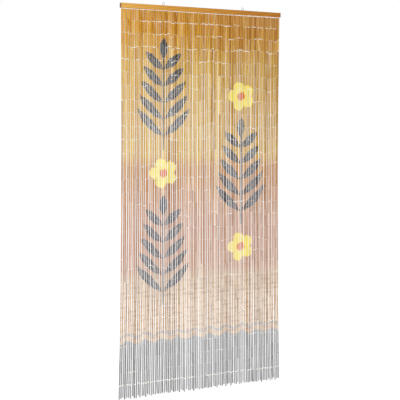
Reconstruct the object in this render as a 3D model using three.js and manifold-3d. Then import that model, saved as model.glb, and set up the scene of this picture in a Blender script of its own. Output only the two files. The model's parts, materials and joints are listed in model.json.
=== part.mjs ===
// A door curtain of bamboo tubes threaded on strings, hung from a wooden rail by two screw eyes.
// Millimetres. +X runs along the rail to the right as seen from the front, +Y to the back, +Z up.
// The origin is the middle of the rail's top face, and depths are measured down from there.
import * as THREE from "three";
import { mergeVertices } from "three/addons/utils/BufferGeometryUtils.js";
import Module from "manifold-3d";

// Driving sizes

const GAP = 0.3; // between pieces that touch

const RAIL = { length: 900, depth: 18, height: 24, easedEdge: 1.2, edgeSteps: 2 };

const EYE = {
  left: -220, // along the rail
  right: 226,
  ringRadius: 6.2, // to the middle of the wire
  ringMiddle: 8.8, // over the rail
  wire: 2.2,
  shankInRail: 12,
};

const TUBE = {
  thick: 9.3, // across, in the top rows
  thickUntil: 120, // depth
  slim: 6.8, // across, in the lower rows
  slimFrom: 640, // depth
  top: 28.4, // depth where each strand's first tube starts
  first: 54.1, // length in the top row
  pitch: 64.5, // from joint to joint in the rows after it
  joint: 2.4, // open length between two tubes
  alignedJoints: 3, // rows of joints near the rail that lie in line
};

// A square strand of this share of a tube's width looks as full as the round tube.
const SQUARE_SHARE = 0.9;

const STRAND = { count: 90, pitch: 9.92, string: 1.8, sides: 4 };

// How far a strand wanders: a wave down its length, started elsewhere on each strand. Side to side it also
// keeps a share of the wave's size as an offset of its own.
const SWAY = { thick: 0.15, slim: 0.6, startStep: 3.7, depthPerRadian: 260, keptShare: 0.5, keptStep: 2.1 };
const LEAN = { size: 1.2, startStep: 5.3, depthPerRadian: 410 }; // front to back

const BACKING = { depth: 6, height: 1.7, pastLastStrand: 3 };

// The strands spread a little towards the hem, which hangs lower at its left end by the tilt, and higher at
// its right end.
const HEM = { depth: 1996.5, tilt: 3.5, flare: 19.5, flareFrom: 600, flarePower: 2.1 };

// Each strand ends above or below the hem's line by the sum of these waves over the strands.
const HEM_WAVES = [
  { size: 2, step: 0.18, start: 0 },
  { size: 4.5, step: 2.399, start: 0 },
  { size: 3, step: 4.13, start: 1 },
  { size: 2, step: 7.7, start: 2 },
];

const BODY_ROWS = [620, 1300]; // depths between the last formed joint and the hem where a strand can bend

const COLOURS = { stainedWood: 0xc98c36, steel: 0xb9b6b0, bamboo: 0xd9bf92 };

const HALF_SPREAD = ((STRAND.count - 1) / 2) * STRAND.pitch; // from the middle to the outermost strand

// Solids from closed geometries, and back

const wasm = await Module();
wasm.setup();

function solidOf(geometry) {
  const bare = geometry.clone();
  bare.deleteAttribute("normal");
  bare.deleteAttribute("uv");
  const merged = mergeVertices(bare, 1e-3);
  return new wasm.Manifold(
    new wasm.Mesh({
      numProp: 3,
      vertProperties: merged.attributes.position.array,
      triVerts: new Uint32Array(merged.index.array),
    }),
  );
}

function geometryOf(solid) {
  const { vertProperties, triVerts } = solid.getMesh();
  const indexed = new THREE.BufferGeometry();
  indexed.setAttribute("position", new THREE.BufferAttribute(vertProperties, 3));
  indexed.setIndex(new THREE.BufferAttribute(triVerts, 1));
  const geometry = indexed.toNonIndexed();
  geometry.computeVertexNormals();
  return geometry;
}

// A closed cylinder that stands between two heights.
function post(radius, low, high) {
  const cylinder = new THREE.CylinderGeometry(radius, radius, high - low, 12);
  cylinder.rotateX(Math.PI / 2);
  cylinder.translate(0, 0, (low + high) / 2);
  return cylinder;
}

// The rail: a bar with eased edges all round, and a blind hole for each eye's shank.
function railGeometry() {
  const { length, depth, height, easedEdge, edgeSteps } = RAIL;
  const y = depth / 2 - easedEdge;
  const z = height / 2 - easedEdge;
  const section = new THREE.Shape();
  section.moveTo(-y, -z).lineTo(y, -z).lineTo(y, z).lineTo(-y, z);
  const bar = new THREE.ExtrudeGeometry(section, {
    depth: length - 2 * easedEdge,
    bevelThickness: easedEdge,
    bevelSize: easedEdge,
    bevelSegments: edgeSteps,
  });
  bar.translate(0, 0, easedEdge - length / 2);
  bar.rotateY(Math.PI / 2);
  bar.rotateX(Math.PI / 2);
  bar.translate(0, 0, -height / 2);
  let solid = solidOf(bar);
  for (const x of [EYE.left, EYE.right]) {
    const hole = post(EYE.wire / 2 + GAP, -EYE.shankInRail - GAP, easedEdge);
    hole.translate(x, 0, 0);
    solid = solid.subtract(solidOf(hole));
  }
  return geometryOf(solid);
}

// A screw eye about its own shank: a wire ring that faces front, and a shank that sits in the rail.
function eyeGeometry() {
  const ring = new THREE.TorusGeometry(EYE.ringRadius, EYE.wire / 2, 10, 28);
  ring.rotateX(Math.PI / 2);
  ring.translate(0, 0, EYE.ringMiddle);
  const shank = post(EYE.wire / 2, -EYE.shankInRail, EYE.ringMiddle - EYE.ringRadius);
  return geometryOf(solidOf(ring).add(solidOf(shank)));
}

// 0 where the tubes are thick, 1 where they are slim
function slimnessAt(depth) {
  const share = (depth - TUBE.thickUntil) / (TUBE.slimFrom - TUBE.thickUntil);
  return THREE.MathUtils.clamp(share, 0, 1);
}

function tubeWidthAt(depth) {
  return THREE.MathUtils.lerp(TUBE.thick, TUBE.slim, slimnessAt(depth)) * SQUARE_SHARE;
}

// Where the middle of a strand lies at a depth, counting strands from 0 at the left.
function strandPlace(number, depth) {
  const x = number * STRAND.pitch - HALF_SPREAD;
  const down = Math.max(0, depth - HEM.flareFrom) / (HEM.depth - HEM.flareFrom);
  const loose = THREE.MathUtils.clamp((depth - TUBE.top) / TUBE.first, 0, 1);
  const sway = loose * THREE.MathUtils.lerp(SWAY.thick, SWAY.slim, slimnessAt(depth));
  const wave = Math.sin(number * SWAY.startStep + depth / SWAY.depthPerRadian);
  const kept = SWAY.keptShare * Math.sin(number * SWAY.keptStep);
  return {
    x: x + (x / HALF_SPREAD) * HEM.flare * down ** HEM.flarePower + sway * (wave + kept),
    y: loose * LEAN.size * Math.sin(number * LEAN.startStep + depth / LEAN.depthPerRadian),
  };
}

function strandEnd(number) {
  const x = number * STRAND.pitch - HALF_SPREAD;
  const level = HEM.depth - (x / HALF_SPREAD) * HEM.tilt;
  return HEM_WAVES.reduce((depth, wave) => depth + wave.size * Math.sin(number * wave.step + wave.start), level);
}

// One strand: its string, tubes with open joints in the first rows, then one run to its end.
function strandGeometry(number) {
  const end = strandEnd(number);
  const root = RAIL.height + GAP + BACKING.height / 2;
  const rows = [
    [0, root],
    [STRAND.string, root],
    [STRAND.string, TUBE.top],
    [tubeWidthAt(TUBE.top), TUBE.top],
  ];
  for (let joint = 0; joint < TUBE.alignedJoints; joint++) {
    const depth = TUBE.top + TUBE.first + joint * TUBE.pitch;
    rows.push([tubeWidthAt(depth), depth]);
    rows.push([STRAND.string, depth + TUBE.joint / 2]);
    rows.push([tubeWidthAt(depth), depth + TUBE.joint]);
  }
  for (const depth of [...BODY_ROWS, end]) rows.push([tubeWidthAt(depth), depth]);
  rows.push([0, end]);
  const profile = rows.map(([width, depth]) => new THREE.Vector2(width / Math.SQRT2, -depth));
  const strand = new THREE.LatheGeometry(profile.reverse(), STRAND.sides, Math.PI / 4);
  strand.rotateX(Math.PI / 2);
  const corners = strand.attributes.position;
  for (let i = 0; i < corners.count; i++) {
    const place = strandPlace(number, -corners.getZ(i));
    corners.setX(i, corners.getX(i) + place.x);
    corners.setY(i, corners.getY(i) + place.y);
  }
  return strand;
}

// All strands, fused by their roots to a narrow strip just under the rail.
function strandsGeometry() {
  const length = 2 * (HALF_SPREAD + BACKING.pastLastStrand);
  const strip = new THREE.BoxGeometry(length, BACKING.depth, BACKING.height);
  strip.translate(0, 0, -(RAIL.height + GAP + BACKING.height / 2));
  const solids = [solidOf(strip)];
  for (let number = 0; number < STRAND.count; number++) solids.push(solidOf(strandGeometry(number)));
  return geometryOf(wasm.Manifold.union(solids));
}

// The curtain

const stainedWood = new THREE.MeshStandardMaterial({ color: COLOURS.stainedWood, roughness: 0.45 });
const steel = new THREE.MeshStandardMaterial({ color: COLOURS.steel, roughness: 0.35, metalness: 1 });
const bamboo = new THREE.MeshStandardMaterial({ color: COLOURS.bamboo, roughness: 0.5 });

function named(name, geometry, material) {
  const mesh = new THREE.Mesh(geometry, material);
  mesh.name = name;
  return mesh;
}

const curtain = new THREE.Group();
curtain.add(named("rail", railGeometry(), stainedWood));
for (const side of ["left", "right"]) {
  const eye = named("eye_" + side, eyeGeometry(), steel);
  eye.position.x = EYE[side];
  curtain.add(eye);
}
curtain.add(named("strands", strandsGeometry(), bamboo));

export default curtain;
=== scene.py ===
"""A door curtain: printed bamboo tubes on strings, under a stained wooden rail with two screw eyes.

Metres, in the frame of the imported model: +X runs along the rail to the right as seen from the front,
+Y to the back and +Z up. The origin is the middle of the rail's top face, and depths are measured
down from there.
"""

import json
import math
import random

import bmesh
import bpy
from mathutils import Matrix, Vector

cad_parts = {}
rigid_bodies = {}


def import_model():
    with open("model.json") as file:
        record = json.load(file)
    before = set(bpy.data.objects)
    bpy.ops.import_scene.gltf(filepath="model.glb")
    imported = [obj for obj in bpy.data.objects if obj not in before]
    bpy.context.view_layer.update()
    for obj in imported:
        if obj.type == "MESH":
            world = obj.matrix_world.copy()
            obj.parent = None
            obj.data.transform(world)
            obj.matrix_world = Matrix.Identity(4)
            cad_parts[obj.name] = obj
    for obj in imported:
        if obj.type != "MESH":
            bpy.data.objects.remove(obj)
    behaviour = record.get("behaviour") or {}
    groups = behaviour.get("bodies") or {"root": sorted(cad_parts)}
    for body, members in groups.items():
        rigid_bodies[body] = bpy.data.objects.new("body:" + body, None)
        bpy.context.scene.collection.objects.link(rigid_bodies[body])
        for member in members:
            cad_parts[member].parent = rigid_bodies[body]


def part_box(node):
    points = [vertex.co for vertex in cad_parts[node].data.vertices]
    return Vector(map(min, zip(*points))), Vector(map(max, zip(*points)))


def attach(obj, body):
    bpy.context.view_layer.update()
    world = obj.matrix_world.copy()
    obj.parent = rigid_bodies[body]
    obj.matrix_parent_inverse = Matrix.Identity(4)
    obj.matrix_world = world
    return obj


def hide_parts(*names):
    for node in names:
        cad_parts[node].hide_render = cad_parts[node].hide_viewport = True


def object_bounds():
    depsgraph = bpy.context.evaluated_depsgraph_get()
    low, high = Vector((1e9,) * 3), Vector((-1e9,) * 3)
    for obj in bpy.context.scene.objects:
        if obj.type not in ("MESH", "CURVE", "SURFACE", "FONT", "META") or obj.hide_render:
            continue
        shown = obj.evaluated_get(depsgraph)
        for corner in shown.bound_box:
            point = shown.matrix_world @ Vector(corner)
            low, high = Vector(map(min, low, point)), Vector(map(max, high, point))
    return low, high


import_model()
solids_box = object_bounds()
rail_low, rail_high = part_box("rail")

scene = bpy.context.scene
MM = 0.001

# Sizes that the solids have too

STRANDS = 90
PITCH = 9.92 * MM
HALF_SPREAD = (STRANDS - 1) / 2 * PITCH
THICK = 9.3 * MM
THICK_UNTIL = 120 * MM
SLIM = 6.8 * MM
SLIM_FROM = 640 * MM
FIRST_TOP = 28.4 * MM
FIRST_LENGTH = 54.1 * MM
ROW_PITCH = 64.5 * MM
SWAY = {
    "thick": 0.15 * MM,
    "slim": 0.6 * MM,
    "start_step": 3.7,
    "depth_per_radian": 260 * MM,
    "kept_share": 0.5,
    "kept_step": 2.1,
}
LEAN = {"size": 1.2 * MM, "start_step": 5.3, "depth_per_radian": 410 * MM}
HEM = {"depth": 1.9965, "tilt": 3.5 * MM, "flare": 19.5 * MM, "flare_from": 0.6, "flare_power": 2.1}
HEM_WAVES = [
    {"size": 2 * MM, "step": 0.18, "start": 0},
    {"size": 4.5 * MM, "step": 2.399, "start": 0},
    {"size": 3 * MM, "step": 4.13, "start": 1},
    {"size": 2 * MM, "step": 7.7, "start": 2},
]
EYE_RADIUS = 6.2 * MM
EYE_MIDDLE = 8.8 * MM
EYE_WIRE = 2.2 * MM
RAIL_EASED_EDGE = 1.2 * MM


def clamp(value, low=0.0, high=1.0):
    return max(low, min(high, value))


def slimness(depth):
    """0 where the tubes are thick, 1 where they are slim."""
    return clamp((depth - THICK_UNTIL) / (SLIM_FROM - THICK_UNTIL))


def place_on_rail(number):
    """Where a strand leaves the rail, counting strands from 0 at the left."""
    return number * PITCH - HALF_SPREAD


def strand_middle(number, depth):
    """Where the middle of a strand lies at a depth."""
    x = place_on_rail(number)
    down = max(0.0, depth - HEM["flare_from"]) / (HEM["depth"] - HEM["flare_from"])
    loose = clamp((depth - FIRST_TOP) / FIRST_LENGTH)
    sway = loose * (SWAY["thick"] + (SWAY["slim"] - SWAY["thick"]) * slimness(depth))
    wave = math.sin(number * SWAY["start_step"] + depth / SWAY["depth_per_radian"])
    kept = SWAY["kept_share"] * math.sin(number * SWAY["kept_step"])
    x += x / HALF_SPREAD * HEM["flare"] * down ** HEM["flare_power"] + sway * (wave + kept)
    y = loose * LEAN["size"] * math.sin(number * LEAN["start_step"] + depth / LEAN["depth_per_radian"])
    return Vector((x, y, -depth))


def hem_level(number):
    """The depth of the hem's line at a strand."""
    return HEM["depth"] - place_on_rail(number) / HALF_SPREAD * HEM["tilt"]


def strand_end(number):
    """The depth where a strand's last tube ends."""
    waves = (wave["size"] * math.sin(number * wave["step"] + wave["start"]) for wave in HEM_WAVES)
    return hem_level(number) + sum(waves)


# Camera, light and floor

CAMERA = {
    "azimuth": -23.34,
    "elevation": 3.46,
    "roll": 0.2,
    "distance": 4.553,
    "aim": Vector((-0.0148, 0, -0.9217)),
    "focal_pixels": 870.4,
    "frame_pixels": 400,
    "up_pixels": 14,
}
CURTAIN_MIDDLE = Vector((0, 0, -0.95))


def make_camera(sensor_width=36):
    turn = math.radians(CAMERA["azimuth"])
    rise = math.radians(CAMERA["elevation"])
    roll = math.radians(CAMERA["roll"])
    back = Vector((math.sin(turn) * math.cos(rise), -math.cos(turn) * math.cos(rise), math.sin(rise)))
    level = Vector((0, 0, 1)).cross(back).normalized()
    upright = back.cross(level)
    right = math.cos(roll) * level + math.sin(roll) * upright
    up = math.cos(roll) * upright - math.sin(roll) * level
    data = bpy.data.cameras.new("camera")
    data.sensor_width = sensor_width
    data.lens = sensor_width * CAMERA["focal_pixels"] / CAMERA["frame_pixels"]
    data.shift_y = -CAMERA["up_pixels"] / CAMERA["frame_pixels"]
    camera = bpy.data.objects.new("camera", data)
    scene.collection.objects.link(camera)
    turned = Matrix((right, up, back)).transposed().to_4x4()
    camera.matrix_world = Matrix.Translation(CAMERA["aim"] + CAMERA["distance"] * back) @ turned
    scene.camera = camera


def soft_light(name, place, size, power):
    """A square soft box that faces the middle of the curtain."""
    data = bpy.data.lights.new(name, "AREA")
    data.size = size
    data.energy = power
    light = bpy.data.objects.new(name, data)
    light.location = place
    light.rotation_euler = (CURTAIN_MIDDLE - Vector(place)).to_track_quat("-Z", "Y").to_euler()
    scene.collection.objects.link(light)


def make_world(seen=1.0, lit=0.54):
    """White to the camera, and a weaker white as light."""
    world = bpy.data.worlds.new("white studio")
    world.use_nodes = True
    nodes = world.node_tree.nodes
    links = world.node_tree.links
    background = nodes["Background"]
    ray = nodes.new("ShaderNodeLightPath")
    strength = nodes.new("ShaderNodeMapRange")
    strength.inputs["To Min"].default_value = lit
    strength.inputs["To Max"].default_value = seen
    links.new(ray.outputs["Is Camera Ray"], strength.inputs["Value"])
    links.new(strength.outputs["Result"], background.inputs["Strength"])
    background.inputs["Color"].default_value = (1, 1, 1, 1)
    scene.world = world


def make_floor(shade=0.3, glow=0.82, under_hem=15 * MM, half_side=2.6):
    """A plain floor just under the hem, with a glow that brings it near the world's white."""
    material = bpy.data.materials.new("white floor")
    material.use_nodes = True
    shader = material.node_tree.nodes["Principled BSDF"]
    shader.inputs["Base Color"].default_value = (shade, shade, shade, 1)
    shader.inputs["Roughness"].default_value = 0.9
    shader.inputs["Emission Color"].default_value = (1, 1, 1, 1)
    shader.inputs["Emission Strength"].default_value = glow
    mesh = bpy.data.meshes.new("floor")
    z = solids_box[0].z - under_hem
    signs = [(-1, -1), (1, -1), (1, 1), (-1, 1)]
    mesh.from_pydata([(x * half_side, y * half_side, z) for x, y in signs], [], [(0, 1, 2, 3)])
    mesh.materials.append(material)
    floor = bpy.data.objects.new("floor", mesh)
    scene.collection.objects.link(floor)


make_camera()
make_world()
soft_light("key_light", place=(-2.3, -2.1, -0.1), size=1.6, power=60)
soft_light("back_light", place=(2.4, 2.6, -0.2), size=1.8, power=40)
make_floor()
scene.view_settings.view_transform = "Standard"

# Arithmetic for materials


class Ink:
    """A number or vector in a material, joined by ordinary arithmetic into nodes."""

    def __init__(self, tree, socket):
        self.tree = tree
        self.socket = socket

    def math(self, operation, *others):
        node = self.tree.nodes.new("ShaderNodeMath")
        node.operation = operation
        for socket, value in zip(node.inputs, (self, *others)):
            feed(self.tree, socket, value)
        return Ink(self.tree, node.outputs[0])

    def __add__(self, other):
        return self.math("ADD", other)

    def __sub__(self, other):
        return self.math("SUBTRACT", other)

    def __mul__(self, other):
        return self.math("MULTIPLY", other)

    def __truediv__(self, other):
        return self.math("DIVIDE", other)

    def __neg__(self):
        return self * -1.0

    def __rsub__(self, other):
        return -self + other

    def __abs__(self):
        return self.math("ABSOLUTE")

    def floor(self):
        return self.math("FLOOR")

    def past_whole(self):
        """How far this is past the whole number under it."""
        return self - self.floor()

    def over(self, edge):
        """1 where this is more than the edge."""
        return self.math("GREATER_THAN", edge)

    def smooth(self, low, high):
        """0 at low and less, 1 at high and more, and a smooth step between."""
        node = self.tree.nodes.new("ShaderNodeMapRange")
        node.interpolation_type = "SMOOTHSTEP"
        feed(self.tree, node.inputs["Value"], self)
        feed(self.tree, node.inputs["From Min"], low)
        feed(self.tree, node.inputs["From Max"], high)
        return Ink(self.tree, node.outputs["Result"])


def feed(tree, socket, value):
    if isinstance(value, Ink):
        tree.links.new(value.socket, socket)
    elif isinstance(value, bpy.types.NodeSocket):
        tree.links.new(value, socket)
    else:
        socket.default_value = value


def colour(red, green, blue):
    """A colour as the eye sees it, in 255 steps, for a shader's socket."""

    def linear(step):
        share = step / 255
        return share / 12.92 if share <= 0.04045 else ((share + 0.055) / 1.055) ** 2.4

    return (linear(red), linear(green), linear(blue), 1)


class Finish:
    """A material under construction: a named node tree with a Principled shader. A shade is an Ink, or a
    colour in 255 steps.
    """

    def __init__(self, name):
        self.material = bpy.data.materials.new(name)
        self.material.use_nodes = True
        self.tree = self.material.node_tree
        self.shader = self.tree.nodes["Principled BSDF"]

    def attribute(self, name, output="Fac"):
        node = self.tree.nodes.new("ShaderNodeAttribute")
        node.attribute_name = name
        return Ink(self.tree, node.outputs[output])

    def place(self):
        node = self.tree.nodes.new("ShaderNodeTexCoord")
        return Ink(self.tree, node.outputs["Object"])

    def parts(self, vector):
        node = self.tree.nodes.new("ShaderNodeSeparateXYZ")
        feed(self.tree, node.inputs[0], vector)
        return [Ink(self.tree, output) for output in node.outputs]

    def vector(self, x, y, z):
        node = self.tree.nodes.new("ShaderNodeCombineXYZ")
        for socket, value in zip(node.inputs, (x, y, z)):
            feed(self.tree, socket, value)
        return Ink(self.tree, node.outputs[0])

    def stretched(self, vector, scale, shift=(0, 0, 0)):
        node = self.tree.nodes.new("ShaderNodeVectorMath")
        node.operation = "MULTIPLY_ADD"
        for socket, value in zip(node.inputs, (vector, scale, shift)):
            feed(self.tree, socket, value)
        return Ink(self.tree, node.outputs[0])

    def noise(self, place, density, shift=(0, 0, 0), detail=2.0, roughness=0.5):
        """Noise of a density along each axis, in repeats per metre."""
        node = self.tree.nodes.new("ShaderNodeTexNoise")
        feed(self.tree, node.inputs["Vector"], self.stretched(place, density, shift))
        node.inputs["Scale"].default_value = 1.0
        node.inputs["Detail"].default_value = detail
        node.inputs["Roughness"].default_value = roughness
        return Ink(self.tree, node.outputs["Fac"])

    def ramp(self, value, stops):
        node = self.tree.nodes.new("ShaderNodeValToRGB")
        feed(self.tree, node.inputs[0], value)
        elements = node.color_ramp.elements
        while len(elements) < len(stops):
            elements.new(1.0)
        for element, (position, shade) in zip(elements, stops):
            element.position = position
            element.color = colour(*shade)
        return Ink(self.tree, node.outputs["Color"])

    def mix(self, share, first, second):
        node = self.tree.nodes.new("ShaderNodeMix")
        node.data_type = "RGBA"
        feed(self.tree, node.inputs["Factor"], share)
        for name, shade in (("A", first), ("B", second)):
            feed(self.tree, node.inputs[name], shade if isinstance(shade, Ink) else colour(*shade))
        return Ink(self.tree, node.outputs["Result"])

    def brightened(self, shade, factor):
        """A shade times a number."""
        plain = shade if isinstance(shade, Ink) else colour(*shade)[:3]
        return self.stretched(plain, self.vector(factor, factor, factor))

    def deepened(self, shade, power):
        """A shade raised to a power: over 1 is deeper and stronger, under 1 is paler."""
        node = self.tree.nodes.new("ShaderNodeGamma")
        feed(self.tree, node.inputs["Color"], shade)
        feed(self.tree, node.inputs["Gamma"], power)
        return Ink(self.tree, node.outputs["Color"])

    def bump(self, height, distance, strength):
        node = self.tree.nodes.new("ShaderNodeBump")
        node.inputs["Strength"].default_value = strength
        node.inputs["Distance"].default_value = distance
        feed(self.tree, node.inputs["Height"], height)
        self.tree.links.new(node.outputs["Normal"], self.shader.inputs["Normal"])

    def set(self, **values):
        """Values by socket name, with _ for a space."""
        for name, value in values.items():
            feed(self.tree, self.shader.inputs[name.replace("_", " ")], value)


# The printed design

# The ground's five tones, and the heights on the curtain between which each of them holds.
AMBER = (200, 144, 30)
GOLD = (204, 164, 62)
RUST = (190, 135, 62)
ROSE = (195, 152, 127)
SAND = (205, 178, 148)
BANDS = [
    (0.0, AMBER),
    (-0.12, AMBER),
    (-0.30, GOLD),
    (-0.76, GOLD),
    (-0.82, RUST),
    (-1.12, ROSE),
    (-1.34, ROSE),
    (-1.40, SAND),
    (-1.65, SAND),
]
PRINT_BOTTOM = -2.05

# A cane's tone makes the print deeper or paler, and its warmth a little redder or greener.
TONE_DEPTH = 0.17
WARM_TINT = (196, 104, 44)
COOL_TINT = (178, 154, 82)
TINT_SHARE = 0.12

# Painted shade: the print is mixed towards a duller brown on the right, where the light falls off, most of
# all at the rail and not at all low down.
PAINTED_SHADE_TONE = (186, 146, 124)
PAINTED_SHADE_ACROSS = (-0.35, 0.45)
PAINTED_SHADE_DOWN = [
    {"none_under": -0.14, "full_over": 0.0, "share": 0.14},
    {"none_under": -0.95, "full_over": -0.6, "share": 0.2},
]

# Broken stripes, in rows that are each shifted by a share of a stripe against the row under them.
STRIPES = {
    "shade": (168, 124, 104),
    "row_pitch": 0.024,
    "row_share": 0.34,
    "pitch": 0.105,
    "drawn_share": 0.55,
    "row_shift": 0.37,
    "none_over": -1.36,
    "full_under": -1.44,
    "strength": 0.55,
}

# The grey base, under a zigzag with a line of its own over it, and paler towards the right: painted light
# that makes up for the light falling off to the right.
BASE = {
    "shade": (145, 145, 147),
    "top": -1.715,
    "zigzag_period": 0.045,
    "zigzag_size": 0.011,
    "line_over": 0.034,
    "line_half": 0.006,
    "line_share": 0.8,
    "brightness": 1.06,
    "painted_light_right": 0.33,
    "tone_share": 0.14,
}
PRINT_EDGE = 0.002

# Motifs stand in a half-drop repeat, and only whole ones are printed.
CELL = {"width": 0.44, "height": 0.80, "phase": 0.5625, "top_middle": -0.2, "bottom_middle": -1.5}
SPRIG = {
    "shade": (58, 60, 70),
    "pairs": 5,
    "first_leaf": -0.21,
    "leaf_pitch": 0.085,
    "leaf_length": 0.2,
    "shorter": 0.09,
    "leaf_half": 0.021,
    "rib_half": 0.0011,
    "angle": math.radians(56),
    "bend": 0.9,
    "stem_half": 0.0045,
    "stem_edge": 0.001,
    "stem_low": -0.28,
    "stem_past_tip": 0.01,
    "tip_under_pair": 0.4,
    "top_leaf": 0.11,
    "reach": 3,
}
FLOWER = {
    "petal_shade": (242, 224, 96),
    "heart_shade": (214, 108, 40),
    "petals": 5,
    "ring": 0.046,
    "petal": 0.031,
    "heart": 0.022,
    "coverage": 0.92,
}


def half_drop(u, v, drop=0.0):
    """The place within one cell, from the cell's middle, and 1 where that cell's motif is printed."""
    column = (u / CELL["width"]).floor()
    across = u - (column + 0.5) * CELL["width"]
    odd = column.math("PINGPONG", 1.0)
    shifted = v / CELL["height"] + odd * 0.5 + (CELL["phase"] + drop)
    along = (shifted.past_whole() - 0.5) * CELL["height"]
    middle = v - along
    printed = middle.over(CELL["bottom_middle"]) * (-middle).over(-CELL["top_middle"])
    return across, along, printed


def leaf(along, across, length):
    """A pointed leaf from the origin, bent a little over its length, with a bare midrib."""
    share = along / length
    off_rib = abs(across + along * along * SPRIG["bend"])
    half = share * (1.0 - share) * (4 * SPRIG["leaf_half"])
    blade = (half - off_rib).smooth(-PRINT_EDGE, PRINT_EDGE)
    return blade * off_rib.smooth(SPRIG["rib_half"] / 2, SPRIG["rib_half"])


def sprig(u, v):
    """A stem with pairs of leaves, and one leaf at its tip. A leaf reaches up past the pairs over it, so
    each place looks for leaves that start at its own height and at the pairs below.
    """
    across, height, printed = half_drop(u, v)
    side = abs(across)
    nearest = ((height - SPRIG["first_leaf"]) / SPRIG["leaf_pitch"]).floor()
    sin = math.sin(SPRIG["angle"])
    cos = math.cos(SPRIG["angle"])
    tip = SPRIG["first_leaf"] + (SPRIG["pairs"] - SPRIG["tip_under_pair"]) * SPRIG["leaf_pitch"]
    stem = (SPRIG["stem_half"] - side).smooth(-SPRIG["stem_edge"], SPRIG["stem_edge"])
    ink = stem * height.over(SPRIG["stem_low"]) * (tip - height + SPRIG["stem_past_tip"]).over(0.0)
    for below in range(SPRIG["reach"]):
        number = nearest - float(below)
        rise = height - SPRIG["first_leaf"] - number * SPRIG["leaf_pitch"]
        along = side * sin + rise * cos
        length = (1.0 - number * SPRIG["shorter"]) * SPRIG["leaf_length"]
        on_stem = number.over(-0.5) * ((SPRIG["pairs"] - 0.5) - number).over(0.0)
        ink = ink.math("MAXIMUM", leaf(along, side * cos - rise * sin, length) * on_stem)
    up = height - tip
    top_leaf = leaf(up, across - up * up * SPRIG["bend"], SPRIG["top_leaf"])
    return ink.math("MAXIMUM", top_leaf) * printed


def flower(u, v):
    """Round petals in a ring, and a heart, between the sprigs: the petals' mask and the heart's."""
    across, height, printed = half_drop(u, v, drop=0.5)
    reach = (across * across + height * height).math("SQRT")
    turn = height.math("ARCTAN2", across) * (FLOWER["petals"] / math.tau)
    angle = (turn.past_whole() - 0.5) * (math.tau / FLOWER["petals"])
    out = reach * angle.math("COSINE") - FLOWER["ring"]
    beside = reach * angle.math("SINE")
    distance = (out * out + beside * beside).math("SQRT")
    petals = distance.smooth(FLOWER["petal"] + PRINT_EDGE, FLOWER["petal"] - PRINT_EDGE)
    heart = reach.smooth(FLOWER["heart"] + PRINT_EDGE, FLOWER["heart"] - PRINT_EDGE)
    return petals * printed, heart * printed


def stripes(u, v):
    """The broken stripes' mask."""
    row = v / STRIPES["row_pitch"]
    along = u / STRIPES["pitch"] + row.floor() * STRIPES["row_shift"]
    in_row = (STRIPES["row_share"] - row.past_whole()).over(0.0)
    drawn = (STRIPES["drawn_share"] - along.past_whole()).over(0.0)
    low = v.smooth(STRIPES["none_over"], STRIPES["full_under"]) * STRIPES["strength"]
    return in_row * drawn * low


def base(u, v):
    """The mask of the base and of the line over it."""
    zigzag = (u / BASE["zigzag_period"]).math("PINGPONG", 1.0) * (2 * BASE["zigzag_size"])
    edge = zigzag - BASE["zigzag_size"] + BASE["top"]
    line = (BASE["line_half"] - abs(v - edge - BASE["line_over"])).smooth(-PRINT_EDGE, PRINT_EDGE)
    return (edge - v).smooth(-PRINT_EDGE, PRINT_EDGE).math("MAXIMUM", line * BASE["line_share"])


def printed_ground(finish, u, v, warmth, tone):
    """The soft bands, fine broken stripes low down, and a grey base with a zigzag edge."""
    stops = [(1 - z / PRINT_BOTTOM, shade) for z, shade in reversed(BANDS)]
    ground = finish.ramp(v / -PRINT_BOTTOM + 1.0, stops)
    for lean, tint in ((warmth, WARM_TINT), (-warmth, COOL_TINT)):
        ground = finish.mix(lean.smooth(0.0, 1.0) * TINT_SHARE, ground, tint)
    # Painted shade: the ground is mixed towards a duller brown on the right, most of all at the rail.
    steps = [v.smooth(step["none_under"], step["full_over"]) * step["share"] for step in PAINTED_SHADE_DOWN]
    ground = finish.mix(u.smooth(*PAINTED_SHADE_ACROSS) * (steps[0] + steps[1]), ground, PAINTED_SHADE_TONE)
    ground = finish.mix(stripes(u, v), ground, STRIPES["shade"])
    ground = finish.deepened(ground, tone * -TONE_DEPTH + 1.0)
    # Painted light: the base is brightened towards the right.
    brightness = tone * BASE["tone_share"] + u * BASE["painted_light_right"] + BASE["brightness"]
    return finish.mix(base(u, v), ground, finish.brightened(BASE["shade"], brightness))


# Materials, with the density of each grain across and along it in repeats per metre

BAMBOO = {
    "fibres": (1500, 1500, 26),
    "clouds": (90, 90, 30),
    "pores": (2600, 2600, 2600),
    "worn_ends": 32.0,
    "worn_share": 0.2,
    "bare": [(0.3, (228, 208, 168)), (0.7, (249, 238, 208))],
    "pore_shade": (140, 104, 62),
}
RAIL_WOOD = {
    "drift": (2.2, 14, 14),
    "fibres": (22, 900, 900),
    "patches": (9, 30, 30),
    "pith_in_front": 0.03,
    "pith_under": 0.075,
    "ring_density": 900.0,
    "ring_drift": 9.0,
    "stain": [(0.2, (169, 108, 34)), (0.55, (206, 147, 55)), (0.9, (225, 173, 80))],
    # Painted shade: the stain is deepened towards the right, where less light falls.
    "painted_shade_right": 0.62,
    "depth": 1.14,
    # A duller, darker band near each end of the rail.
    "end_band_colour": (150, 108, 74),
    "end_band_from": (0.436, 0.4495),
    "end_from": (0.4488, 0.4494),
    "end_shades": ((104, 66, 36), (140, 92, 50)),
}
COTTON = {
    "twist_down": 2400.0,
    "twist_across": 1500.0,
    "fuzz": (3000, 3000, 1500),
    "shades": [(0.2, (236, 230, 216)), (0.8, (252, 250, 244))],
}
PLATING = {"scuffs": (900, 900, 900), "shades": [(0.3, (168, 166, 160)), (0.7, (206, 204, 198))]}


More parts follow.
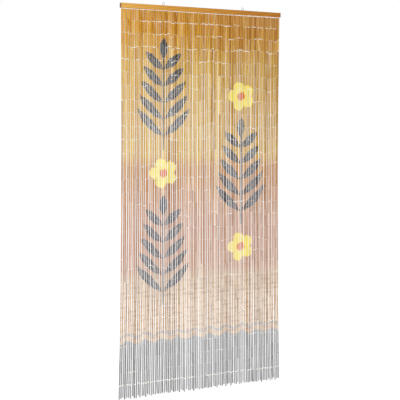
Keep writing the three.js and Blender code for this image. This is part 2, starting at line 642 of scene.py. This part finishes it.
def printed_bamboo():
    finish = Finish("printed bamboo")
    u, _, v = finish.parts(finish.attribute("print_place", "Vector"))
    tone = finish.attribute("tone")
    grain_start = finish.attribute("grain_start")
    place = finish.place()
    shift = finish.vector(grain_start, grain_start * 0.7, grain_start * 1.3)
    fibres = finish.noise(place, BAMBOO["fibres"], shift, detail=4.0, roughness=0.6)
    clouds = finish.noise(place, BAMBOO["clouds"], shift)
    pores = finish.noise(place, BAMBOO["pores"], shift, detail=1.0)
    paint = printed_ground(finish, u, v, finish.attribute("warmth"), tone)
    paint = finish.mix(sprig(u, v) * (fibres.smooth(0.22, 0.42) * 0.25 + 0.73), paint, SPRIG["shade"])
    petals, heart = flower(u, v)
    paint = finish.mix(petals * FLOWER["coverage"], paint, FLOWER["petal_shade"])
    paint = finish.mix(heart * FLOWER["coverage"], paint, FLOWER["heart_shade"])
    paint = finish.brightened(paint, tone * 0.06 + fibres * 0.26 + clouds * 0.16 + 0.80)
    cut = finish.attribute("cut")
    wood = finish.ramp(fibres, BAMBOO["bare"])
    wood = finish.mix(pores.smooth(0.62, 0.7) * cut * 0.5, wood, BAMBOO["pore_shade"])
    from_end = (1.0 - abs(finish.attribute("span"))) * BAMBOO["worn_ends"]
    worn = (from_end + fibres * 0.9).smooth(1.3, 0.5)
    finish.set(
        Base_Color=finish.mix(cut.math("MAXIMUM", worn * BAMBOO["worn_share"]), paint, wood),
        Roughness=cut * 0.3 + fibres * 0.2 + 0.36,
        Specular_IOR_Level=0.2,
        Coat_Weight=0.03,
        Coat_Roughness=0.3,
    )
    finish.bump(fibres, distance=0.12 * MM, strength=0.6)
    return finish.material


def stained_wood():
    finish = Finish("stained wood")
    place = finish.place()
    x, y, z = finish.parts(place)
    drift = finish.noise(place, RAIL_WOOD["drift"])
    fibres = finish.noise(place, RAIL_WOOD["fibres"], detail=4.0, roughness=0.65)
    patches = finish.noise(place, RAIL_WOOD["patches"])
    beside = y + RAIL_WOOD["pith_in_front"]
    above = z + RAIL_WOOD["pith_under"]
    from_pith = (beside * beside + above * above).math("SQRT")
    wave = from_pith * RAIL_WOOD["ring_density"] + drift * RAIL_WOOD["ring_drift"]
    rings = wave.math("SINE") * 0.5 + 0.5
    shade = finish.ramp(rings * 0.45 + fibres * 0.45 + patches * 0.25, RAIL_WOOD["stain"])
    # Painted shade: the stain is deepened towards the right, where less light falls.
    shade = finish.deepened(shade, x * RAIL_WOOD["painted_shade_right"] + RAIL_WOOD["depth"])
    # A duller, darker band near each end of the rail.
    shade = finish.mix(abs(x).smooth(*RAIL_WOOD["end_band_from"]) * 0.4, shade, RAIL_WOOD["end_band_colour"])
    end_grain = abs(x).smooth(*RAIL_WOOD["end_from"])
    shade = finish.mix(end_grain, shade, finish.mix(rings * 0.6, *RAIL_WOOD["end_shades"]))
    finish.set(
        Base_Color=shade,
        Roughness=end_grain * 0.25 + fibres * 0.18 + 0.36,
        Specular_IOR_Level=0.3,
        Coat_Weight=0.1,
        Coat_Roughness=0.25,
    )
    finish.bump(fibres + rings * 0.4, distance=0.15 * MM, strength=0.5)
    return finish.material


def cotton_string():
    finish = Finish("cotton string")
    place = finish.place()
    x, y, z = finish.parts(place)
    wave = z * COTTON["twist_down"] + (x + y) * COTTON["twist_across"]
    twist = wave.math("SINE") * 0.5 + 0.5
    fuzz = finish.noise(place, COTTON["fuzz"])
    shade = finish.ramp(twist * 0.6 + fuzz * 0.4, COTTON["shades"])
    finish.set(Base_Color=shade, Roughness=0.85, Sheen_Weight=0.3)
    finish.bump(twist, distance=0.2 * MM, strength=0.6)
    return finish.material


def plated_wire():
    finish = Finish("plated wire")
    scuffs = finish.noise(finish.place(), PLATING["scuffs"], detail=3.0)
    shade = finish.ramp(scuffs, PLATING["shades"])
    finish.set(Base_Color=shade, Metallic=1.0, Roughness=scuffs * 0.3 + 0.18)
    finish.bump(scuffs, distance=0.04 * MM, strength=0.4)
    return finish.material


# Geometry Nodes


class Growth:
    """A Geometry Nodes tree under construction, with named inputs."""

    def __init__(self, name, **kinds):
        self.tree = bpy.data.node_groups.new(name, "GeometryNodeTree")
        self.tree.interface.new_socket("Geometry", in_out="INPUT", socket_type="NodeSocketGeometry")
        for label, kind in kinds.items():
            socket_type = "NodeSocket" + kind
            self.tree.interface.new_socket(label.replace("_", " "), in_out="INPUT", socket_type=socket_type)
        self.tree.interface.new_socket("Geometry", in_out="OUTPUT", socket_type="NodeSocketGeometry")
        self.given = self.tree.nodes.new("NodeGroupInput").outputs
        self.result = self.tree.nodes.new("NodeGroupOutput").inputs[0]

    def node(self, kind, settings=None, **inputs):
        """A node fed by socket name, with _ for a space. Returns its first output."""
        node = self.tree.nodes.new(kind)
        for name, value in (settings or {}).items():
            setattr(node, name, value)
        for name, value in inputs.items():
            feed(self.tree, node.inputs[name.replace("_", " ")], value)
        return node.outputs[0]

    def math(self, operation, first, second, kind="ShaderNodeMath"):
        node = self.tree.nodes.new(kind)
        node.operation = operation
        feed(self.tree, node.inputs[0], first)
        feed(self.tree, node.inputs[1], second)
        return node.outputs[0]

    def named(self, name, data_type="FLOAT"):
        return self.node("GeometryNodeInputNamedAttribute", settings={"data_type": data_type}, Name=name)

    def finish(self, geometry):
        """The end of the tree: real geometry with the material that the Finish input names."""
        solid = self.node("GeometryNodeRealizeInstances", Geometry=geometry)
        finished = self.node("GeometryNodeSetMaterial", Geometry=solid, Material=self.given["Finish"])
        self.tree.links.new(finished, self.result)

    def on(self, name, mesh, **values):
        """A plain mesh object: what the tree makes of a mesh, with its inputs set by name."""
        seed = bpy.data.objects.new(name + "_seed", mesh)
        scene.collection.objects.link(seed)
        modifier = seed.modifiers.new("grow", "NODES")
        modifier.node_group = self.tree
        for item in self.tree.interface.items_tree:
            label = item.name.replace(" ", "_")
            if item.in_out == "INPUT" and label in values:
                modifier[item.identifier] = values[label]
        graph = bpy.context.evaluated_depsgraph_get()
        made = bpy.data.meshes.new_from_object(
            seed.evaluated_get(graph), preserve_all_data_layers=True, depsgraph=graph
        )
        bpy.data.objects.remove(seed)
        made.name = name
        piece = bpy.data.objects.new(name, made)
        scene.collection.objects.link(piece)
        return piece


def points_mesh(name, points, edges=(), **attributes):
    """A mesh of bare points with an attribute for each named list."""
    mesh = bpy.data.meshes.new(name)
    mesh.from_pydata(points, list(edges), [])
    for label, values in attributes.items():
        kind = {int: "INT", float: "FLOAT"}.get(type(values[0]), "FLOAT_VECTOR")
        data = mesh.attributes.new(label, kind, "POINT").data
        if kind == "FLOAT_VECTOR":
            data.foreach_set("vector", [number for value in values for number in value])
        else:
            data.foreach_set("value", values)
    return mesh


# Tubes

TUBES_ON_A_STRING = 30
TUBE_SIDES = 10
TUBE_NOMINAL = {"radius": 3.6 * MM, "half_length": 31.5 * MM, "bore": 1.55 * MM, "ease": 0.35 * MM}
RIDGE = {"share": 1.11, "half": 1.6 * MM}

# The kinds of tube and the chance of each: straight, wider at one end, or with a ridge where the cane had
# a node. Widths are shares of the nominal one, and a ridge's place is a share of the half length.
TUBE_KINDS = [
    {"name": "kind_0_straight", "chance": 0.5},
    {"name": "kind_1_wider_below", "chance": 0.22, "low_share": 1.04, "high_share": 0.97},
    {"name": "kind_2_wider_above", "chance": 0.2, "low_share": 0.97, "high_share": 1.04},
    {"name": "kind_3_ridge_high", "chance": 0.04, "ridge_at": 0.45},
    {"name": "kind_4_ridge_low", "chance": 0.04, "ridge_at": -0.3},
]


def tube_rings(low_share, high_share, ridge_at):
    """A cut tube's section as rings of a radius and a height, and 1 where the wood is bare: its outer wall
    from below up, its eased top end, its bore from above down, and its eased lower end.
    """
    radius = TUBE_NOMINAL["radius"]
    half = TUBE_NOMINAL["half_length"]
    ease = TUBE_NOMINAL["ease"]
    bore = TUBE_NOMINAL["bore"]
    outer = [(low_share, -half + ease), (high_share, half - ease)]
    if ridge_at is not None:
        ridge = [(1.0, -RIDGE["half"]), (RIDGE["share"], 0.0), (1.0, RIDGE["half"])]
        outer[1:1] = [(share, ridge_at * half + lift) for share, lift in ridge]
    rings = [(radius * share, z, 0.0) for share, z in outer]
    rings += [(radius * high_share - ease, half, 1.0), (bore, half, 1.0)]
    rings += [(bore, -half, 1.0), (radius * low_share - ease, -half, 1.0)]
    return rings


def tube_kind(name, low_share=1.0, high_share=1.0, ridge_at=None):
    """A hollow cut tube about the z axis."""
    shape = bmesh.new()
    cut = shape.verts.layers.float.new("cut")
    span = shape.verts.layers.float.new("span")
    rings = []
    for reach, z, bareness in tube_rings(low_share, high_share, ridge_at):
        ring = []
        for side in range(TUBE_SIDES):
            angle = math.tau * side / TUBE_SIDES
            vertex = shape.verts.new((reach * math.cos(angle), reach * math.sin(angle), z))
            vertex[cut] = bareness
            vertex[span] = z / TUBE_NOMINAL["half_length"]
            ring.append(vertex)
        rings.append(ring)
    for ring, following in zip(rings, rings[1:] + rings[:1]):
        for side in range(TUBE_SIDES):
            beside = (side + 1) % TUBE_SIDES
            shape.faces.new((ring[side], ring[beside], following[beside], following[side]))
    mesh = bpy.data.meshes.new(name)
    shape.to_mesh(mesh)
    shape.free()
    mesh.shade_smooth()
    mesh.set_sharp_from_angle(angle=math.radians(40))
    return bpy.data.objects.new(name, mesh)


def tube_kinds():
    """The kinds that a tube is picked from, as a collection in the order of their names."""
    kinds = bpy.data.collections.new("tube kinds")
    for kind in TUBE_KINDS:
        shape = {label: value for label, value in kind.items() if label != "chance"}
        kinds.objects.link(tube_kind(**shape))
    return kinds


# How far a joint stands open, and the spread of that as a share of it.
JOINT = {"shut": 0.5 * MM, "open": 2.3 * MM, "last": 3.6 * MM, "spread": 0.25, "least": 0.3 * MM}

# The share of joints that stand open in each row from the rail down, in the rows after them, and in the
# row over the last tubes: each string's slack has gathered near the rail.
OPEN_SHARES = [0.65, 0.5, 0.5, 0.4, 0.3]
OPEN_SHARE_BELOW = 0.22
OPEN_SHARE_LAST = 0.7

# In each row neighbouring strings share a shift, a few strings at a time, and some of the luck of standing
# open. Joints hold the line of their row near the rail, drift from it further down, and come back to one
# line over the hem.
BATCH_SIZES = (1, 6)
BATCH_SHIFT = 2.6 * MM
BATCH_SHIFT_FIRST_ROW = 0.6
OWN_SHIFT = 1.5 * MM
BATCH_LUCK = 0.65
OWN_LUCK = 0.35
DRIFT_KEPT = 0.86
HOLD = {"at_rail": 1.4, "rows": 3}
EASE_POWER = 6
LAST_JOINT_LIFT = 2 * MM


def joint_depth(number, row, rows, drift):
    """The depth of the middle of a string's joint, for a drift from its even place."""
    first = FIRST_TOP + FIRST_LENGTH
    last = (strand_end(number) + hem_level(number)) / 2 - ROW_PITCH - LAST_JOINT_LIFT
    share = row / (rows - 1)
    in_line = first + ROW_PITCH * row
    even = first + (last - first) * share
    hold = clamp(HOLD["at_rail"] - row / HOLD["rows"])
    return hold * in_line + (1 - hold) * even + drift * (1 - share**EASE_POWER)


def open_share(row, rows):
    """The share of a row's joints that stand open."""
    if row == rows - 1:
        return OPEN_SHARE_LAST
    return OPEN_SHARES[row] if row < len(OPEN_SHARES) else OPEN_SHARE_BELOW


def settle_joints(dice):
    """The middle depth of each joint of each string, and how far each stands open."""
    rows = TUBES_ON_A_STRING - 1
    depths = {number: [] for number in range(STRANDS)}
    openings = {number: [] for number in range(STRANDS)}
    drift = [0.0] * STRANDS
    for row in range(rows):
        left_in_batch = 0
        for number in range(STRANDS):
            if left_in_batch == 0:
                left_in_batch = dice.randint(*BATCH_SIZES)
                batch_shift = dice.gauss(0, BATCH_SHIFT)
                batch_luck = dice.random()
            left_in_batch -= 1
            shift_share = 1.0 if row else BATCH_SHIFT_FIRST_ROW
            drift[number] += dice.gauss(0, OWN_SHIFT) + shift_share * batch_shift
            depths[number].append(joint_depth(number, row, rows, drift[number]))
            drift[number] *= DRIFT_KEPT
            size = JOINT["shut"]
            if BATCH_LUCK * batch_luck + OWN_LUCK * dice.random() < open_share(row, rows):
                size = JOINT["last" if row == rows - 1 else "open"]
            openings[number].append(max(JOINT["least"], dice.gauss(size, JOINT["spread"] * size)))
    return depths, openings


# Tubes are cut from canes and threaded in turn, so a string's tone and width hold for a run of tubes. The
# first rows are mixed, and closer to one another in tone and width.
MIXED_ROWS = 3
MIXED_CHANCE = 0.55
NEW_CANE_CHANCE = 0.08
CANE = {"tone": 1.15, "warmth": 0.4, "width": 0.99, "width_spread": 0.055, "narrow": 0.86, "wide": 1.06}
MIXED_CANE = {"tone": 0.5, "width_spread": 0.02}

# Each tube differs a little from its cane, and leans a little on its string, in degrees.
TUBE = {"tone": 0.35, "warmth": 0.4, "width_spread": 0.03, "tilt": 0.22, "nod": 0.5}
TONES = (-2.3, 1.8)
WARMTHS = (-1.2, 1.2)

# Strings whose canes are deep toned all the way down, and by how much.
DEEP_STRANDS = {24: 1.3, 29: 1.1, 60: 1.2, 72: 1.8, 75: 1.8}

# The last tubes hang looser than the others. Tubes keep a space to the next string, and more where loose.
LOOSE_LAST = 2.5
SPACE = 0.15 * MM
SPACE_WHERE_LOOSE = 0.25 * MM

# How far a string's print lies up or down, and how far its first tube starts over the row's line, both
# in millimetres.
PRINT_SHIFT = 2.5
FIRST_TOP_RISE = (0.2, 1.4)

# Where a tube's grain is taken from in the noise.
GRAIN_STARTS = (0, 500)


def lay_out_tubes():
    """Each tube's place, size, lean and print, strand by strand, and the joints between them."""
    dice = random.Random(54)
    tubes = []
    joints, openings = settle_joints(dice)
    chances = [kind["chance"] for kind in TUBE_KINDS]
    for number in range(STRANDS):
        tops = [FIRST_TOP - dice.uniform(*FIRST_TOP_RISE) * MM]
        tops += [depth + gap / 2 for depth, gap in zip(joints[number], openings[number])]
        ends = [depth - gap / 2 for depth, gap in zip(joints[number], openings[number])]
        ends.append(strand_end(number))
        print_shift = dice.gauss(0, PRINT_SHIFT) * MM
        for row, (top, end) in enumerate(zip(tops, ends)):
            if row == 0 or dice.random() < (MIXED_CHANCE if row <= MIXED_ROWS else NEW_CANE_CHANCE):
                spread = MIXED_CANE if row < MIXED_ROWS else CANE
                cane_tone = dice.gauss(0, spread["tone"])
                cane_warmth = dice.gauss(0, CANE["warmth"])
                cane_width = dice.gauss(CANE["width"], spread["width_spread"])
                cane_width = clamp(cane_width, CANE["narrow"], CANE["wide"])
            depth = (top + end) / 2
            middle = strand_middle(number, depth)
            lie = strand_middle(number, top) - strand_middle(number, end)
            looseness = LOOSE_LAST if row == TUBES_ON_A_STRING - 1 else 1.0
            tilt = math.radians(dice.gauss(0, TUBE["tilt"] * looseness))
            beside = [strand_middle(n, depth).x for n in (number - 1, number + 1) if 0 <= n < STRANDS]
            room = min(abs(x - middle.x) for x in beside) - (SPACE + SPACE_WHERE_LOOSE * (looseness - 1))
            wished = (THICK + (SLIM - THICK) * slimness(depth)) * cane_width
            tone = dice.gauss(cane_tone, TUBE["tone"]) - DEEP_STRANDS.get(number, 0)
            tubes.append(
                {
                    "strand": number,
                    "place": middle,
                    "long": end - top,
                    "wide": min(wished * dice.gauss(1, TUBE["width_spread"]), room),
                    "turn": (
                        -math.atan2(lie.y, lie.z) + math.radians(dice.gauss(0, TUBE["nod"])),
                        math.atan2(lie.x, lie.z) + tilt,
                        0.0,
                    ),
                    "kind": dice.choices(range(len(chances)), chances)[0],
                    "tone": clamp(tone, *TONES),
                    "warmth": clamp(dice.gauss(cane_warmth, TUBE["warmth"]), *WARMTHS),
                    "grain_start": dice.uniform(*GRAIN_STARTS),
                    "print_move": (place_on_rail(number) - middle.x, 0.0, print_shift),
                }
            )
    return tubes, joints


def threading_tree():
    """Puts a tube of the right kind, size and lean on each point, and gives it its place in the print."""
    growth = Growth(
        "thread the tubes",
        Tube_Kinds="Collection",
        Nominal_Width="Float",
        Nominal_Length="Float",
        Finish="Material",
    )
    given = growth.given
    kinds = growth.node(
        "GeometryNodeCollectionInfo",
        Collection=given["Tube Kinds"],
        Separate_Children=True,
        Reset_Children=True,
    )
    across = growth.math("DIVIDE", growth.named("wide"), given["Nominal Width"])
    along = growth.math("DIVIDE", growth.named("long"), given["Nominal Length"])
    threaded = growth.node(
        "GeometryNodeInstanceOnPoints",
        Points=given["Geometry"],
        Instance=kinds,
        Pick_Instance=True,
        Instance_Index=growth.named("kind", "INT"),
        Rotation=growth.node("FunctionNodeEulerToRotation", Euler=growth.named("turn", "FLOAT_VECTOR")),
        Scale=growth.node("ShaderNodeCombineXYZ", X=across, Y=across, Z=along),
    )
    place = growth.node("GeometryNodeInputPosition")
    print_move = growth.named("print_move", "FLOAT_VECTOR")
    printed = growth.node(
        "GeometryNodeStoreNamedAttribute",
        settings={"data_type": "FLOAT_VECTOR", "domain": "POINT"},
        Geometry=growth.node("GeometryNodeRealizeInstances", Geometry=threaded),
        Name="print_place",
        Value=growth.math("ADD", place, print_move, kind="ShaderNodeVectorMath"),
    )
    growth.finish(printed)
    return growth


TUBE_PIECES = {"tubes_left": (0, 30), "tubes_middle": (30, 60), "tubes_right": (60, 90)}
THREADED = ("long", "wide", "turn", "kind", "tone", "warmth", "grain_start", "print_move")


def make_tubes(tubes, material):
    growth = threading_tree()
    kinds = tube_kinds()
    pieces = []
    for name, (first, past_last) in TUBE_PIECES.items():
        chosen = [tube for tube in tubes if first <= tube["strand"] < past_last]
        lists = {label: [tube[label] for tube in chosen] for label in THREADED}
        piece = growth.on(
            name,
            points_mesh(name + "_places", [tube["place"] for tube in chosen], **lists),
            Tube_Kinds=kinds,
            Nominal_Width=2 * TUBE_NOMINAL["radius"],
            Nominal_Length=2 * TUBE_NOMINAL["half_length"],
            Finish=material,
        )
        pieces.append(piece)
    for kind in list(kinds.objects):
        bpy.data.objects.remove(kind)
    return pieces


# Strings and knots

STRING = {"width": 1.3 * MM, "sides": 6, "in_rail": 6 * MM}
KNOT = {"drop": 2.2 * MM, "size": 0.62 * MM, "steps": 18, "sides": 5, "tail": 4 * MM}


def sweeping_tree():
    """Gives a line of edges a round section."""
    growth = Growth("sweep a round section", Width="Float", Sides="Int", Finish="Material")
    given = growth.given
    radius = growth.math("MULTIPLY", given["Width"], 0.5)
    ring = growth.node("GeometryNodeCurvePrimitiveCircle", Resolution=given["Sides"], Radius=radius)
    line = growth.node("GeometryNodeMeshToCurve", Mesh=given["Geometry"])
    swept = growth.node("GeometryNodeCurveToMesh", Curve=line, Profile_Curve=ring, Fill_Caps=True)
    growth.finish(growth.node("GeometryNodeSetShadeSmooth", Geometry=swept, Shade_Smooth=True))
    return growth


def lines_mesh(name, lines):
    """A mesh of open lines of edges."""
    points = []
    edges = []
    for line in lines:
        edges += [(len(points) + i, len(points) + i + 1) for i in range(len(line) - 1)]
        points += line
    return points_mesh(name, points, edges)


def string_line(number, joints):
    """A string from its hole in the rail to its tail under the knot."""
    end = strand_end(number)
    root = -rail_low.z - STRING["in_rail"]
    knot = end + KNOT["drop"]
    depths = [root, FIRST_TOP, *joints, end, knot, knot + KNOT["tail"]]
    return [strand_middle(number, depth) for depth in depths]


def knot_line(number):
    """An overhand knot as a small trefoil under the last tube."""
    middle = strand_middle(number, strand_end(number) + KNOT["drop"])
    line = []
    for step in range(KNOT["steps"] + 1):
        t = math.tau * step / KNOT["steps"]
        loop = (math.sin(t) + 2 * math.sin(2 * t), math.cos(t) - 2 * math.cos(2 * t), -math.sin(3 * t))
        line.append(middle + KNOT["size"] * Vector(loop))
    return line


def make_strings(joints, material):
    growth = sweeping_tree()
    lines = lines_mesh("string_lines", [string_line(number, joints[number]) for number in range(STRANDS)])
    ties = lines_mesh("knot_lines", [knot_line(number) for number in range(STRANDS)])
    return (
        growth.on("strings", lines, Width=STRING["width"], Sides=STRING["sides"], Finish=material),
        growth.on("knots", ties, Width=STRING["width"], Sides=KNOT["sides"], Finish=material),
    )


# Screw eyes

# The heights of the wire's bend out of the rail, and the angles in degrees between which it goes round.
EYE = {"bend_low": -0.5 * MM, "bend_high": 0.9 * MM, "start": -62, "stop": 251, "steps": 40, "sides": 14}


def eye_line(node):
    """The wire of a screw eye: up the shank, then round the ring until it nearly meets the shank again."""
    low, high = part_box(node)
    x = (low.x + high.x) / 2
    start = math.radians(EYE["start"])
    stop = math.radians(EYE["stop"])
    line = [Vector((x, 0, z)) for z in (low.z, low.z / 2, EYE["bend_low"], EYE["bend_high"])]
    for step in range(EYE["steps"] + 1):
        angle = start + (stop - start) * step / EYE["steps"]
        across = EYE_RADIUS * math.cos(angle)
        line.append(Vector((x + across, 0, EYE_MIDDLE + EYE_RADIUS * math.sin(angle))))
    return line


def make_eyes(material):
    growth = sweeping_tree()
    eyes = {}
    for node in ("eye_left", "eye_right"):
        line = lines_mesh(node + "_line", [eye_line(node)])
        eyes[node] = growth.on("screw_" + node, line, Width=EYE_WIRE, Sides=EYE["sides"], Finish=material)
    return eyes


# Rail

HOLE = {"width": 2.6 * MM, "length": 16 * MM, "sides": 12}


def bar_mesh():
    """The rail's bar with softly rounded edges."""
    shape = bmesh.new()
    bmesh.ops.create_cube(shape, size=1.0)
    bmesh.ops.scale(shape, vec=rail_high - rail_low, verts=shape.verts)
    bmesh.ops.translate(shape, vec=(rail_high + rail_low) / 2, verts=shape.verts)
    bmesh.ops.bevel(
        shape,
        geom=shape.edges,
        offset=RAIL_EASED_EDGE,
        segments=3,
        profile=0.5,
        affect="EDGES",
        clamp_overlap=True,
    )
    mesh = bpy.data.meshes.new("bar")
    shape.to_mesh(mesh)
    shape.free()
    return mesh


def drilling_tree():
    """Drills a row of upright holes into the bar."""
    growth = Growth(
        "drill the rail",
        Holes="Int",
        Hole_Width="Float",
        Hole_Length="Float",
        First_Hole="Vector",
        Step="Vector",
        Finish="Material",
    )
    given = growth.given
    drill = growth.node(
        "GeometryNodeMeshCylinder",
        Vertices=HOLE["sides"],
        Radius=growth.math("MULTIPLY", given["Hole Width"], 0.5),
        Depth=given["Hole Length"],
    )
    row = growth.node(
        "GeometryNodeMeshLine",
        Count=given["Holes"],
        Start_Location=given["First Hole"],
        Offset=given["Step"],
    )
    drills = growth.node("GeometryNodeInstanceOnPoints", Points=row, Instance=drill)
    drills = growth.node("GeometryNodeRealizeInstances", Geometry=drills)
    growth.finish(growth.node("GeometryNodeMeshBoolean", Mesh_1=given["Geometry"], Mesh_2=drills))
    return growth


def make_rail(material):
    growth = drilling_tree()
    bar = growth.on(
        "wooden_rail",
        bar_mesh(),
        Holes=STRANDS,
        Hole_Width=HOLE["width"],
        Hole_Length=HOLE["length"],
        First_Hole=(place_on_rail(0), 0, rail_low.z),
        Step=(PITCH, 0, 0),
        Finish=material,
    )
    bar.data.shade_smooth()
    bar.data.set_sharp_from_angle(angle=math.radians(35))
    return bar


# The curtain

bamboo = printed_bamboo()
string = cotton_string()
tubes, joints = lay_out_tubes()

for piece in make_tubes(tubes, bamboo):
    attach(piece, "root")
    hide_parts("strands")

for piece in make_strings(joints, string):
    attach(piece, "root")
    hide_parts("strands")

for node, piece in make_eyes(plated_wire()).items():
    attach(piece, "root")
    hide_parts(node)

rail = make_rail(stained_wood())
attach(rail, "root")
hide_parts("rail")
